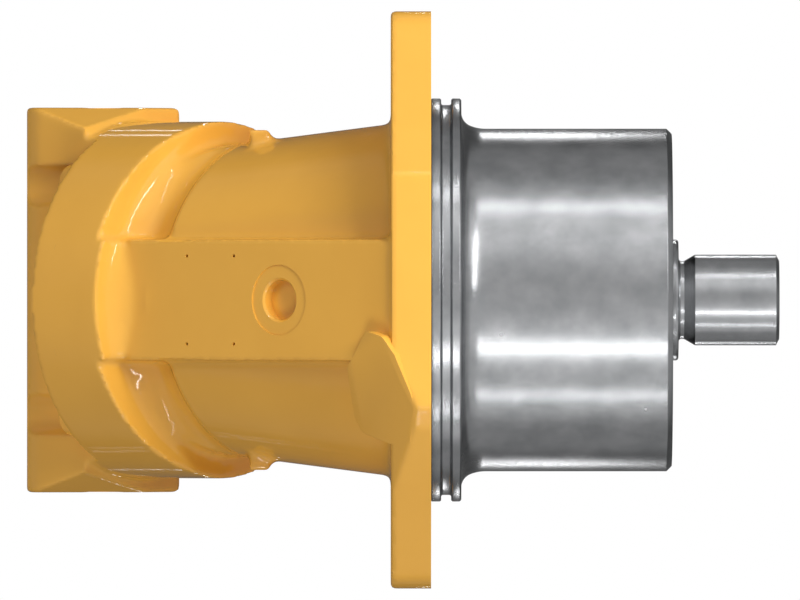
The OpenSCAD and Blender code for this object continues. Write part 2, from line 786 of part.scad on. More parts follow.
// Pin that centres the block: its ball sits where the two axes cross
module centre_pin() {
    stem_r = pin_stem_d / 2;
    neck_r = stem_r - 2;
    color(steel) bent() difference() {
        union() {
            sphere(pin_ball_d / 2);
            turned() polygon([
                [0, 0], [neck_r, 0], [neck_r, 16], [stem_r, 22], [stem_r, pin_collar_t],
                [spring_pocket_d / 2 - 1.5, pin_collar_t], [spring_pocket_d / 2 - 1.5, pin_collar_t + 3],
                [stem_r, pin_collar_t + 3], [stem_r, control_t - 5], [stem_r - 1, control_t - 4],
                [0, control_t - 4]
            ]);
        }
        rod(-pin_ball_d, control_t, 1.5);
    }
}

// Coil spring with flat-lying end turns, swept along its helix
module centre_spring() {
    wire_r = spring_wire_d / 2;
    coil_r = spring_pocket_d / 2 - 0.6 - wire_r;
    from = pin_collar_t + 3 + seat_gap + wire_r;
    to = spring_seat_t - seat_gap - wire_r;
    steps = 22;
    sides = 8;
    rings = round(spring_turns * steps);
    dead = 0.75 / spring_turns;
    function rise(f) = f < dead ? 0 : f > 1 - dead ? 1 : (f - dead) / (1 - 2 * dead);
    function squeeze(f) =
        let (pitch = spring_wire_d * 1.02)
        f < dead ? pitch * f * spring_turns
        : f > 1 - dead ? (to - from) - pitch * (1 - f) * spring_turns
        : pitch * 0.75 + rise(f) * (to - from - 2 * pitch * 0.75);
    pts = [
        for (k = [0:rings], j = [0:sides - 1])
            let (
                f = k / rings,
                a = 360 * spring_turns * f,
                r = coil_r + wire_r * cos(360 * j / sides)
            )
            [from + squeeze(f) + wire_r * sin(360 * j / sides), r * cos(a), r * sin(a)]
    ];
    faces = concat(
        [[for (j = [0:sides - 1]) j]],
        [for (k = [0:rings - 1], j = [0:sides - 1])
            let (a = k * sides + j, b = k * sides + (j + 1) % sides)
            [a, a + sides, b + sides, b]],
        [[for (j = [sides - 1:-1:0]) rings * sides + j]]
    );
    color(steel) bent() polyhedron(pts, faces, convexity = 10);
}

module spring_seat() {
    color(steel) bent() difference() {
        rod(spring_seat_t, spring_seat_t + 3, spring_pocket_d / 2 - run_gap);
        rod(spring_seat_t - 1, spring_seat_t + 4, pin_stem_d / 2 + 0.3);
    }
}

// Lens-shaped control plate with one kidney port for each side
module control_plate() {
    plate_r = block_d / 2 - 2;
    color(bronze) bent() difference() {
        turned() intersection() {
            translate([0, control_t - 1]) square([plate_r, control_seat - control_t + 1]);
            control_ball_profile();
        }
        for (side = [0, 1]) mirror([0, 0, side]) rod_place(control_t - 2) linear_extrude(20)
            kidney_sector(kidney_r, kidney_half_w, kidney_half_angle);
        translate([0, control_pin_s, 0]) rod(control_t, control_seat + 1, control_pin_r + seat_gap);
        rod(control_t - 1, control_seat + 1, 4);
    }
}

// Ring sector centred on the upper side, as the revolve frame sees it
module kidney_sector(mid_r, half_w, half_angle) {
    intersection() {
        difference() {
            circle(mid_r + half_w);
            circle(mid_r - half_w);
        }
        polygon([
            [0, 0], 3 * mid_r * [-cos(half_angle), -sin(half_angle)], [-3 * mid_r, -2 * mid_r],
            [-3 * mid_r, 2 * mid_r], 3 * mid_r * [-cos(half_angle), sin(half_angle)]
        ]);
    }
}

module control_plate_pin() {
    color(steel) bent() translate([0, control_pin_s, 0])
        rod(control_seat - 4, control_seat + 8 - seat_gap, control_pin_r);
}

// The port block's front corners fall away towards the rim on two slanted faces
module port_block() {
    half_z = port_face_span / 2;
    corner = plate_corner_r;
    foot_t = screw_seat_t + 8;
    outline = [
        [foot_t, -plate_half_w], [plate_rear, -plate_half_w], [plate_rear, plate_half_w],
        [foot_t, plate_half_w]
    ];
    difference() {
        union() {
            translate([0, 0, -half_z]) linear_extrude(port_face_span)
                polygon(rounded(outline, [6, corner, corner, 0], 12));
            intersection() {
                rod(joint_t, foot_t + 1, rim_r);
                translate([joint_t, -plate_half_w, -half_z])
                    cube([foot_t + 0.5 - joint_t, 2 * plate_half_w, port_face_span]);
            }
        }
        for (side = [-1, 1]) beyond([-0.287, 0.204, side * 0.936], slant_face);
    }
}

// Passage from one control kidney to its threaded work port
module work_port() {
    half_z = port_face_span / 2;
    kidney_run = 8;
    passage_z = kidney_r;
    rod_place(control_seat - 1) linear_extrude(kidney_run + 1)
        kidney_sector(kidney_r, kidney_half_w, kidney_half_angle);
    translate([0, 0, passage_z]) rod(control_seat + kidney_run - 1, port_t, 9);
    translate([port_t, 0, passage_z - 11]) cylinder(h = half_z - passage_z, r = 12.5);
    translate([port_t, 0, half_z - port_depth]) cylinder(h = half_z, d = port_d - 2);
    translate([port_t, 0, half_z - 1.5]) cylinder(h = 3, d1 = port_d - 2, d2 = port_d + 4);
}

// Round flange, register collar and port block in one casting
module port_plate() {
    groove_half_w = o_ring_d / 2 + 0.3;
    color(paint) bent() difference() {
        union() {
            port_block();
            rod(joint_t, screw_seat_t, rim_r);
            rod(collar_front_t, joint_t + 1, cavity_r - run_gap);
        }
        rod(collar_front_t - 1, control_seat, block_d / 2 + 3);
        plate_screw_places() {
            rod(joint_t - 1, screw_seat_t + 1, plate_screw_d / 2 + 0.3);
            rod(screw_seat_t, plate_rear + 1, plate_screw_d * 0.8);
        }
        for (side = [0, 1]) mirror([0, 0, side]) work_port();
        translate([0, control_pin_s, 0]) rod(control_seat - 1, control_seat + 8, control_pin_r + seat_gap);
        rod(plate_rear - plug_l - 1, plate_rear + 1, plug_d / 2 + seat_gap);
        difference() {
            rod(port_plate_seal_t - groove_half_w, port_plate_seal_t + groove_half_w, cavity_r + 1);
            rod(port_plate_seal_t - o_ring_d, port_plate_seal_t + o_ring_d, cavity_r - o_ring_d);
        }
    }
}

module port_plate_seal() {
    bent() sealing_ring(port_plate_seal_t, cavity_r);
}

// Hexagon socket screws that hold the port plate to the rim
module port_plate_screws() {
    d = plate_screw_d;
    seat_t = screw_seat_t;
    color(paint) bent() plate_screw_places() difference() {
        union() {
            rod(seat_t - plate_screw_l, seat_t + 1, d / 2);
            rod(seat_t, seat_t + d - 1, d * 0.75);
            taper(seat_t + d - 1, seat_t + d, d * 0.75, d * 0.75 - 1);
        }
        rod(seat_t + d / 2, seat_t + d + 1, d * 0.43 / cos(30), $fn = 6);
    }
}

module rear_plug() {
    r = plug_head_d / 2;
    color(paint) bent() difference() {
        union() {
            rod(plate_rear, plate_rear + plug_head_h - 1, r);
            taper(plate_rear + plug_head_h - 1, plate_rear + plug_head_h, r, r - 1);
            rod(plate_rear - plug_l, plate_rear + 1, plug_d / 2);
        }
        rod(plate_rear + plug_head_h - 7, plate_rear + plug_head_h + 1, 4 / cos(30), $fn = 6);
    }
}

module piston_frame(i) {
    translate([pivot_x, 0, 0]) ball_place(i) rotate([-piston_angle(i), 0, 0])
        rotate([0, 0, 180 - bend_angle])
            rotate(a = piston_lean, v = [0, sin(piston_angle(i)), -cos(piston_angle(i))]) children();
}

module piston_ball(i) {
    color(steel) translate([pivot_x, 0, 0]) ball_place(i) sphere(ball_r);
}

// Tapered piston: the body stays clear of the bore's mouth while the crowned head rolls in the bore
module piston(i) {
    neck_r = neck_d / 2;
    head_r = bore_d / 2 - run_gap;
    lean = tan(piston_lean);
    foot_r = min(neck_r + 2.1, head_r - (piston_l - 21) * lean - 0.4);
    groove_r = head_r - ring_depth - 0.1;
    color(steel) piston_frame(i) difference() {
        union() {
            turned() polygon([
                [0, 9], [neck_r, 9], [neck_r, 15], [foot_r, 21], [head_r - 0.85, piston_l - 6],
                [head_r - 2.5, piston_l + 5], [0, piston_l + 5]
            ]);
            intersection() {
                translate([piston_l, 0, 0]) sphere(head_r);
                rod(piston_l - 5, piston_l + 6.5, bore_d);
            }
        }
        sphere(ball_r + seat_gap);
        difference() {
            rod(piston_l - ring_w / 2 - seat_gap, piston_l + ring_w / 2 + seat_gap, bore_d);
            rod(piston_l - ring_w, piston_l + ring_w, groove_r);
        }
    }
}

module piston_ring(i) {
    head_r = bore_d / 2 - run_gap / 2;
    color(dark_steel) piston_frame(i) translate([piston_l, 0, 0]) turned() intersection() {
        circle(head_r);
        translate([head_r - ring_depth, -ring_w / 2]) square([bore_d, ring_w]);
    }
}

housing();
front_cover();
cover_seal();
snap_ring();
shaft_seal();
bearing_shim();
rear_bearing_place() bearing_cup(rear_roller_l);  // rear_bearing_cup
front_bearing_place() bearing_cup(front_roller_l);  // front_bearing_cup
port_plate();
port_plate_seal();
port_plate_screws();
control_plate();
control_plate_pin();
rear_plug();
drain_plug();
drive_shaft();
retaining_plate();
retaining_screws();
rear_bearing_place() bearing_cone(rear_roller_l);  // rear_bearing_cone
front_bearing_place() bearing_cone(front_roller_l);  // front_bearing_cone
bearing_spacer();
shaft_ring();
rear_bearing_place() bearing_cage(rear_roller_l);  // rear_bearing_cage
rear_bearing_place() bearing_rollers(rear_roller_l);  // rear_bearing_rollers
front_bearing_place() bearing_cage(front_roller_l);  // front_bearing_cage
front_bearing_place() bearing_rollers(front_roller_l);  // front_bearing_rollers
cylinder_block();
centre_pin();
centre_spring();
spring_seat();
for (i = [1:piston_count]) {
    piston_ball(i);
    piston(i);
    piston_ring(i);
}
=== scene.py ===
# %% [markdown]
# # A bent-axis axial piston motor in the studio
#
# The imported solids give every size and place. This lesson dresses them: the two castings get a skin with
# soft cast corners, the bearing barrel is turned again with its fine edges, and every piece gets its own
# finish. All lengths are metres, with +X along the drive shaft and +Z up.

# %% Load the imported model
import json
import math

import bpy
import numpy as np
from mathutils import Matrix, Vector

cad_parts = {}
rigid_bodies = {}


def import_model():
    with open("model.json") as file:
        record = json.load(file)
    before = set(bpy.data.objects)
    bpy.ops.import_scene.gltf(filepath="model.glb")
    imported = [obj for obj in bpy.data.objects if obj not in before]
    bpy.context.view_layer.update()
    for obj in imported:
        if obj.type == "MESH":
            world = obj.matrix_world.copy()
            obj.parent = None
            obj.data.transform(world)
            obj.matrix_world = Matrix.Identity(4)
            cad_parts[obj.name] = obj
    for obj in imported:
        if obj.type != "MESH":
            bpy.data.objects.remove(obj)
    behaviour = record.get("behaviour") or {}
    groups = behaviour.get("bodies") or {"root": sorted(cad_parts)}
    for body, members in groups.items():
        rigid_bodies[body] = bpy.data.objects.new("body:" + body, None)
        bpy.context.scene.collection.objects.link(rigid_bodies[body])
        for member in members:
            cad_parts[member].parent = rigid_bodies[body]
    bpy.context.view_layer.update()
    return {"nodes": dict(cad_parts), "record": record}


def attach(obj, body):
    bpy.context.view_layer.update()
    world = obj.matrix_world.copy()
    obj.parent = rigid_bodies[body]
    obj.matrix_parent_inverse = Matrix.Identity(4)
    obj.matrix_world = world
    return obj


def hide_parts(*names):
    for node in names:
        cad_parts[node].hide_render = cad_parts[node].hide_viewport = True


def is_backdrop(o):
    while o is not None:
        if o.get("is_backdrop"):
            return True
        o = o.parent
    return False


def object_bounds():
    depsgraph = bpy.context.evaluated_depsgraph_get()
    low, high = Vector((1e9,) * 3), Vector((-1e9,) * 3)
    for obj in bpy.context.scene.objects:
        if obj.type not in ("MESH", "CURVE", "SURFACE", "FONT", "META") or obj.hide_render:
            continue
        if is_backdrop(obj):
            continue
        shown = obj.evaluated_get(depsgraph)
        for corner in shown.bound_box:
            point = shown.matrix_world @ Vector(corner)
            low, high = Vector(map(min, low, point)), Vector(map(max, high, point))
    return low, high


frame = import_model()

# %% [markdown]
# The cylinder block's axis is swung 40 degrees from the shaft's and crosses it 25 mm behind the flange's
# face. Pieces along that axis are made in a straight frame, with X rearwards and Y to the near side, and
# are then swung into place, just as the drawing of such a housing has its own view along the bent axis.

# %% Sizes and the bent frame
MM = 0.001
BEND = math.radians(40)
SWING = Matrix.Translation((-25 * MM, 0, 0)) @ Matrix.Rotation(math.pi - BEND, 4, "Z")
STRAIGHT = Matrix.Identity(4)
RIM_R = 89
RIM_FRONT = 102
JOINT = 140
SCREW_SEAT = 152.5
PLATE_REAR = 211
PAD = 74
FAR_PORT = 77.4
CAVITY_R = 60
DRIVE_CAVITY_R = 56
BEARING_R = 65


def bent_point(rearwards, near, up):
    return SWING @ (Vector((rearwards, near, up)) * MM)


print("centre of the joint face, mm:", [round(v / MM, 1) for v in bent_point(JOINT, 0, 0)])

# %% [markdown]
# An operator acts on whatever is selected, and a freshly loaded model is selected all over. So each step
# first leaves one piece selected and active.

# %% Selecting and placing
def alone(piece):
    if bpy.context.object and bpy.context.object.mode != "OBJECT":
        bpy.ops.object.mode_set(mode="OBJECT")
    bpy.ops.object.select_all(action="DESELECT")
    piece.select_set(True)
    bpy.context.view_layer.objects.active = piece


def placed(piece, place):
    """Put a piece at its place and leave that place in its mesh."""
    alone(piece)
    piece.matrix_world = place @ piece.matrix_world
    bpy.ops.object.transform_apply(location=True, rotation=True, scale=True)
    return piece


def edit_all(piece):
    alone(piece)
    bpy.ops.object.mode_set(mode="EDIT")
    bpy.ops.mesh.select_all(action="SELECT")


def facing_out(piece):
    edit_all(piece)
    bpy.ops.mesh.remove_doubles(threshold=0.001 * MM)
    bpy.ops.mesh.normals_make_consistent(inside=False)
    bpy.ops.object.mode_set(mode="OBJECT")
    return piece


# %% [markdown]
# A lathe piece is drawn as half of its section and spun round the X axis. The outline starts as one
# point and grows by extruding it from corner to corner.

# %% Turning and extruding
def outline_at(name, points):
    """One chain of edges through points in the piece's own XY plane."""
    bpy.ops.object.select_all(action="DESELECT")
    bpy.ops.mesh.primitive_plane_add(size=MM, location=(0, 0, 0))
    piece = bpy.context.object
    piece.name = name
    bpy.ops.object.mode_set(mode="EDIT")
    bpy.ops.mesh.select_all(action="SELECT")
    bpy.ops.mesh.merge(type="CENTER")
    first = points[0]
    bpy.ops.transform.translate(value=(first[0] * MM, first[1] * MM, 0))
    for a, b in zip(points, points[1:]):
        step = ((b[0] - a[0]) * MM, (b[1] - a[1]) * MM, 0)
        bpy.ops.mesh.extrude_region_move(TRANSFORM_OT_translate={"value": step})
    return piece


def turned(name, section, steps=128, place=STRAIGHT):
    """Spin a closed section of (station, radius) points round the X axis."""
    piece = outline_at(name, list(section) + [section[0]])
    bpy.ops.mesh.select_all(action="SELECT")
    bpy.ops.mesh.spin(steps=steps, angle=2 * math.pi, center=(0, 0, 0), axis=(1, 0, 0))
    bpy.ops.object.mode_set(mode="OBJECT")
    facing_out(piece)
    return placed(piece, place)


def rod(name, start, end, radius, place=STRAIGHT, end_radius=None, steps=96):
    """A round bar or cone along X, closed at both ends."""
    bpy.ops.object.select_all(action="DESELECT")
    bpy.ops.mesh.primitive_cone_add(
        vertices=steps, radius1=radius * MM, radius2=(radius if end_radius is None else end_radius) * MM,
        depth=(end - start) * MM, location=((start + end) / 2 * MM, 0, 0), rotation=(0, math.pi / 2, 0))
    piece = bpy.context.object
    piece.name = name
    return placed(piece, place)


def prism(name, points, height, place=STRAIGHT):
    """A plate: an outline in the piece's XY plane, drawn up along Z and then placed."""
    piece = outline_at(name, points)
    bpy.ops.mesh.select_all(action="SELECT")
    bpy.ops.mesh.edge_face_add()
    bpy.ops.mesh.extrude_region_move(TRANSFORM_OT_translate={"value": (0, 0, height * MM)})
    bpy.ops.object.mode_set(mode="OBJECT")
    facing_out(piece)
    return placed(piece, place)


def arc(centre, radius, start, end, steps):
    angles = [math.radians(start + (end - start) * k / steps) for k in range(steps + 1)]
    return [(centre[0] + radius * math.cos(a), centre[1] + radius * math.sin(a)) for a in angles]


def rounded(points, radii, steps=8):
    """An outline whose corners turn on arcs of their own radii."""
    made = []
    for i, (point, radius) in enumerate(zip(points, radii)):
        p, a, b = Vector(point), Vector(points[i - 1]), Vector(points[(i + 1) % len(points)])
        u, v = (a - p).normalized(), (b - p).normalized()
        half = u.angle(v) / 2
        if radius == 0:
            made.append(tuple(p))
            continue
        centre = p + (u + v).normalized() * radius / math.sin(half)
        start, end = p + u * radius / math.tan(half) - centre, p + v * radius / math.tan(half) - centre
        turn = math.atan2(start.x * end.y - start.y * end.x, start.dot(end))
        for k in range(steps + 1):
            made.append(tuple(centre + Matrix.Rotation(turn * k / steps, 2) @ start))
    return made


# %% [markdown]
# Shapes are put together and cut by Boolean modifiers, and a flat cut by Bisect, which leaves the
# machined face as one flat face with crisp edges.

# %% Joining and cutting
def joined(*parts):
    bpy.ops.object.select_all(action="DESELECT")
    for part in parts:
        part.select_set(True)
    bpy.context.view_layer.objects.active = parts[0]
    bpy.ops.object.join()
    return parts[0]


def combined(piece, tool, operation):
    alone(piece)
    bpy.ops.object.modifier_add(type="BOOLEAN")
    modifier = piece.modifiers[-1]
    modifier.operation = operation
    modifier.solver = "EXACT"
    modifier.object = tool
    bpy.ops.object.modifier_apply(modifier=modifier.name)
    bpy.data.objects.remove(tool)
    return piece


def cut_off(piece, point, outwards):
    """Remove what lies beyond the plane through a point, and close the cut."""
    edit_all(piece)
    bpy.ops.mesh.bisect(plane_co=point, plane_no=outwards, use_fill=True, clear_outer=True,
                        threshold=0.0001 * MM)
    bpy.ops.object.mode_set(mode="OBJECT")
    return piece


def bevelled(piece, width, angle):
    """Break every edge sharper than an angle."""
    alone(piece)
    bpy.ops.object.modifier_add(type="BEVEL")
    bevel = piece.modifiers[-1]
    bevel.width = width * MM
    bevel.segments = 3
    bevel.limit_method = "ANGLE"
    bevel.angle_limit = math.radians(angle)
    bpy.ops.object.modifier_apply(modifier=bevel.name)
    return piece


# %% [markdown]
# A sand casting has no sharp inside corners: the metal wouldn't fill them and the sand would break. So
# the joined shapes are melted into one skin by a voxel Remesh, the Smooth modifier breaks every edge,
# and the inside corners, found in code by the hollow they make, are smoothed further until they are
# fillets.

# %% Casting a skin
def cast(piece, voxel, passes, fillets, hollow=0.02):
    """Melt a piece into one skin, smooth it all, and then its hollows again with some of their neighbours."""
    alone(piece)
    bpy.ops.object.modifier_add(type="REMESH")
    remesh = piece.modifiers[-1]
    remesh.mode = "VOXEL"
    remesh.voxel_size = voxel * MM
    bpy.ops.object.modifier_apply(modifier=remesh.name)
    bpy.ops.object.modifier_add(type="SMOOTH")
    smooth = piece.modifiers[-1]
    smooth.factor = 0.5
    smooth.iterations = passes
    bpy.ops.object.modifier_apply(modifier=smooth.name)
    for grow, repeat in fillets:
        select_hollows(piece, hollow * voxel * MM)
        for _ in range(grow):
            bpy.ops.mesh.select_more()
        bpy.ops.mesh.vertices_smooth(factor=0.5, repeat=repeat)
        bpy.ops.object.mode_set(mode="OBJECT")
    print(piece.name, "cast skin:", len(piece.data.polygons), "faces")
    return piece


def select_hollows(piece, depth):
    """Select the points whose neighbours stand proud of them: the inside corners."""
    mesh = piece.data
    count = len(mesh.vertices)
    place = np.empty(count * 3)
    normal = np.empty(count * 3)
    ends = np.empty(len(mesh.edges) * 2, int)
    mesh.vertices.foreach_get("co", place)
    mesh.vertices.foreach_get("normal", normal)
    mesh.edges.foreach_get("vertices", ends)
    place, normal, ends = place.reshape(-1, 3), normal.reshape(-1, 3), ends.reshape(-1, 2)
    total, number = np.zeros((count, 3)), np.zeros(count)
    for one, other in ((0, 1), (1, 0)):
        np.add.at(total, ends[:, one], place[ends[:, other]])
        np.add.at(number, ends[:, one], 1)
    proud = ((total / number[:, None] - place) * normal).sum(axis=1)
    edit_all(piece)
    bpy.ops.mesh.select_mode(type="VERT")
    bpy.ops.mesh.select_all(action="DESELECT")
    bpy.ops.object.mode_set(mode="OBJECT")
    mesh.vertices.foreach_set("select", proud > depth)
    bpy.ops.object.mode_set(mode="EDIT")


# %% [markdown]
# ## The housing casting
#
# One iron casting: a two-hole flange, a neck that tapers from the flange to the round rim, a flat pad on
# the near side, a slanted lug at the lower near corner, and two small lugs on the far side. The flange
# and the lugs are plates, each drawn as an outline and raised. The slanted lug and the flange's corner
# beside it end in one sloping face, so one plane cuts both.

# %% Flange and lugs
FLANGE_T = 20
FLANGE_OUTLINE = [(105.5, 62), (35.1, 143), (-35.1, 143), (-105.5, 62), (-105.5, -53), (-97.8, -64),
                  (-26.7, -143), (35.1, -143), (105.5, -62)]
FLANGE_RADII = [4, 20, 20, 4, 4, 4, 20, 20, 4]
LUG_DEGREES, LUG_START, LUG_LENGTH = 43.3, 45, 66
LUG_TURN, LUG_TILT, LUG_FACE = math.radians(LUG_DEGREES), math.radians(20.5), 91.1
LUG_OUTLINE = [(29.2, -33.4), (50.2, -15), (60.6, -18), (66, -27), (70, -46), (70, -54), (60, -70),
               (45.3, -71.1), (28, -65.6), (24.9, -58.7)]
LUG_RADII = [5, 4, 3, 0, 0, 0, 0, 4, 4, 3]
FAR_LUG_OUTLINE = [(0, 0), (17, 0), (13, 18), (9, 24.5), (0, 24.5)]
lug_out = Vector((-math.cos(LUG_TURN) * math.cos(LUG_TILT), -math.sin(LUG_TURN) * math.cos(LUG_TILT),
                  -math.sin(LUG_TILT)))
lug_plane = lug_out * LUG_FACE * MM


def columns(x, y, z, origin=(0, 0, 0)):
    """A place whose own three axes point along x, y and z."""
    made = Matrix((x, y, z)).transposed().to_4x4()
    made.translation = Vector(origin) * MM
    return made


upright = columns((0, 1, 0), (0, 0, 1), (1, 0, 0), (-FLANGE_T, 0, 0))
casting = prism("housing_casting", rounded(FLANGE_OUTLINE, FLANGE_RADII), FLANGE_T + 3, upright)
cut_off(casting, lug_plane, lug_out)
side = math.radians(LUG_DEGREES - 90)
lug_place = columns((math.cos(side), math.sin(side), 0), (0, 0, 1), (math.sin(side), -math.cos(side), 0))
lug_place = lug_place @ Matrix.Translation((0, 0, LUG_START * MM))
lug = prism("lug", rounded(LUG_OUTLINE, LUG_RADII, 3), LUG_LENGTH, lug_place)
cut_off(lug, lug_plane, lug_out)
cut_off(lug, (-1 * MM, 0, 0), (1, 0, 0))
bevelled(lug, 0.8, 30)
far_lugs = []
for up, far in ((1, 38), (-1, 22)):
    place = columns((1, 0, 0), (0, 0, up), (0, -up, 0), (-90, far, 60 * up))
    far_lugs.append(prism("far_lug", FAR_LUG_OUTLINE, 16, place))
print("slanted lug:", len(lug.data.polygons), "faces, and", len(far_lugs), "lugs on the far side")

# %% [markdown]
# The neck is the hull of two circles, one against the flange and one on the bent axis, as the pattern
# maker's boards would give it. A loft between the circles would twist; the hull takes the straight lines.

# %% Neck
ends = []
for station, radius, place in ((1 - FLANGE_T, 87.5, STRAIGHT), (104, 76.5, SWING)):
    bpy.ops.object.select_all(action="DESELECT")
    bpy.ops.mesh.primitive_circle_add(vertices=128, radius=radius * MM, location=(station * MM, 0, 0),
                                      rotation=(0, math.pi / 2, 0))
    ends.append(placed(bpy.context.object, place))
neck = joined(*ends)
edit_all(neck)
bpy.ops.mesh.convex_hull()
bpy.ops.object.mode_set(mode="OBJECT")
cut_off(neck, bent_point(0, PAD, 0), SWING.to_3x3() @ Vector((0, 1, 0)))
print("neck:", len(neck.data.polygons), "faces")

# %% [markdown]
# The neck meets the rim in a deep hollow on the near side, cut by a ring of round section that is set
# off centre and tilted, so that it fades out round the sides.

# %% Rim with its hollow
RING_TILT = math.radians(-9.4)


def ring_cut(piece, section, station, centre=0):
    """Hollow a piece that still lies on the straight axis, with a ring off centre that tilts at a station."""
    tilt = (Matrix.Translation((station * MM, PAD * MM, 0)) @ Matrix.Rotation(RING_TILT, 4, "Z")
            @ Matrix.Translation((-station * MM, (centre - PAD) * MM, 0)))
    combined(piece, turned("ring", section, 160, tilt), "DIFFERENCE")


HOLLOW = 94
placed(neck, SWING.inverted())
rim = rod("rim", RIM_FRONT, JOINT + 3, RIM_R, steps=160)
combined(neck, rim, "UNION")
hollow = arc((HOLLOW, 98.8), 17, 0, -126, 28) + [(64, 100.3), (64, 112), (111, 112)]
ring_cut(neck, hollow, HOLLOW, -16)
placed(neck, SWING)
print("neck and rim:", len(neck.data.polygons), "faces")

# %% [markdown]
# The flat pad crosses the hollow as a saddle, with a smaller fillet of its own up to the rim, so that its
# corners stand proud.

# %% The pad and its saddle
PAD_HALF = 30
FOOT = RIM_FRONT - 10.6
FILLET_R = 16
saddle = rod("saddle", RIM_FRONT, JOINT + 3, RIM_R, steps=160)
foot = rod("foot", FOOT - 2, RIM_FRONT + 1, PAD + 4, steps=160)
combined(saddle, foot, "UNION")
ring_cut(saddle, arc((FOOT, PAD + FILLET_R), FILLET_R, 0, 354, 59), FOOT)
cut_off(saddle, (0, 25 * MM, 0), (0, -1, 0))
for up in (-1, 1):
    cut_off(saddle, (0, 0, PAD_HALF * up * MM), (0, 0, up))
placed(saddle, SWING)
pad = prism("pad", [(-90, 0), (RIM_FRONT + 1, 0), (RIM_FRONT + 1, PAD), (-90, PAD)], 2 * PAD_HALF,
            SWING @ Matrix.Translation((0, 0, -PAD_HALF * MM)))
cut_off(pad, (-(FLANGE_T - 0.5) * MM, 0, 0), (1, 0, 0))
print("saddle:", len(saddle.data.polygons), "faces, pad:", len(pad.data.polygons))

# %% [markdown]
# All that overlaps is joined and melted into one skin. Its hollows are smoothed twice: ten times with two
# rings of neighbours, then four times with one. The slanted lug's edges are crisper in the photo, so it is
# added afterwards.

# %% One skin
HOUSING_GRID = 1.34
FAR_DRAIN = SWING @ Matrix.Translation((82 * MM, 0, 0)) @ Matrix.Rotation(-math.pi / 2, 4, "Z")
far_boss = rod("far_boss", CAVITY_R - 2, FAR_PORT + 1, 18, FAR_DRAIN)
joined(casting, neck, saddle, pad, far_boss, *far_lugs)
cast(casting, HOUSING_GRID, 3, [(2, 10), (1, 4)])
combined(casting, lug, "UNION")

# %% [markdown]
# After casting, the housing is machined: the mounting face, the joint face, the bores and the tapped
# holes. They are cut into the finished skin, so their edges stay crisp. A tapped hole's helix would cost
# many faces and looks like rings, so rings it is.

# %% Places of the holes, and a thread
SCREW_SIDE, SCREW_UP = 42, 57
BOLT_UP, BOLT_R = 125, 11
RIVET_UP = 21.8
NEAR_WAY = Matrix.Rotation(math.pi / 2, 4, "Z")


def at_screw(near, up):
    return Matrix.Translation((0, SCREW_SIDE * near * MM, SCREW_UP * up * MM))


def thread(start, end, core_r, pitch):
    """The section of a tapped hole: rings one pitch apart stand for the thread's turns."""
    depth = 0.55 * pitch
    section = [(start, core_r)]
    station = start
    while station + pitch <= end:
        section += [(station + 0.1 * pitch, core_r), (station + 0.5 * pitch, core_r + depth),
                    (station + 0.9 * pitch, core_r)]
        station += pitch
    return section + [(end, core_r)]


print("a thread of two turns:", thread(0, 3, 10, 1.5))

# %% Machining the housing
cut_off(casting, (0, 0, 0), (1, 0, 0))
cut_off(casting, bent_point(JOINT, 0, 0), SWING.to_3x3() @ Vector((1, 0, 0)))
combined(casting, rod("drive_cavity", -50, 4, DRIVE_CAVITY_R), "DIFFERENCE")
combined(casting, rod("block_cavity", 0, JOINT + 4, CAVITY_R, SWING), "DIFFERENCE")
drills = []
for up in (-1, 1):
    lift = Matrix.Translation((0, 0, BOLT_UP * up * MM))
    drills.append(turned("bolt_hole", [(-24, 0), (-24, 15.4), (-20, 11.4), (-19.6, BOLT_R), (-0.5, BOLT_R),
                                       (0, 11.5), (3, 14.5), (3, 0)], 64, lift))
    for near in (-1, 1):
        drills.append(rod("screw_hole", 109.5, JOINT + 4, 7.02, SWING @ at_screw(near, up), steps=48))
    for rearwards in (32.85, 63.35):
        place = SWING @ Matrix.Translation((rearwards * MM, PAD * MM, RIVET_UP * up * MM)) @ NEAR_WAY
        drills.append(rod("rivet_hole", -6, 2, 0.85, place, steps=24))
combined(casting, joined(*drills), "DIFFERENCE")
print("bolt, screw and rivet holes:", len(casting.data.polygons), "faces")

# %% [markdown]
# The housing has two drain ports. The near one is closed by a pressed-in cup, so it is a plain bore with a
# flat round seat, and paint covers it. The far one is open and tapped.

# %% Drain ports
NEAR_DRAIN = SWING @ Matrix.Translation((3.65 * MM, 0, 0)) @ NEAR_WAY
DRAIN_END = 54
near_port = [(DRAIN_END, 10), (PAD - 1.6, 10), (PAD - 0.6, 11), (PAD - 0.6, 17.35), (PAD + 2, 17.8)]
far_port = thread(DRAIN_END, FAR_PORT - 1.8, 10, 1.5)
far_port += [(FAR_PORT - 0.6, 11.2), (FAR_PORT - 0.6, 16), (FAR_PORT + 2, 16.4)]
for port, place in ((near_port, NEAR_DRAIN), (far_port, FAR_DRAIN)):
    section = [(DRAIN_END, 0)] + port + [(port[-1][0], 0)]
    combined(casting, turned("drain_port", section, 96, place), "DIFFERENCE")
print("housing casting:", len(casting.data.polygons), "faces")

# %% [markdown]
# ## The bearing barrel
#
# In front of the flange the casting is turned bright: two spigot lands with the empty seal groove
# between them, a fillet, and the long barrel that holds both bearings. It is one section spun round the
# shaft axis, with the broken edges that every turned corner has.

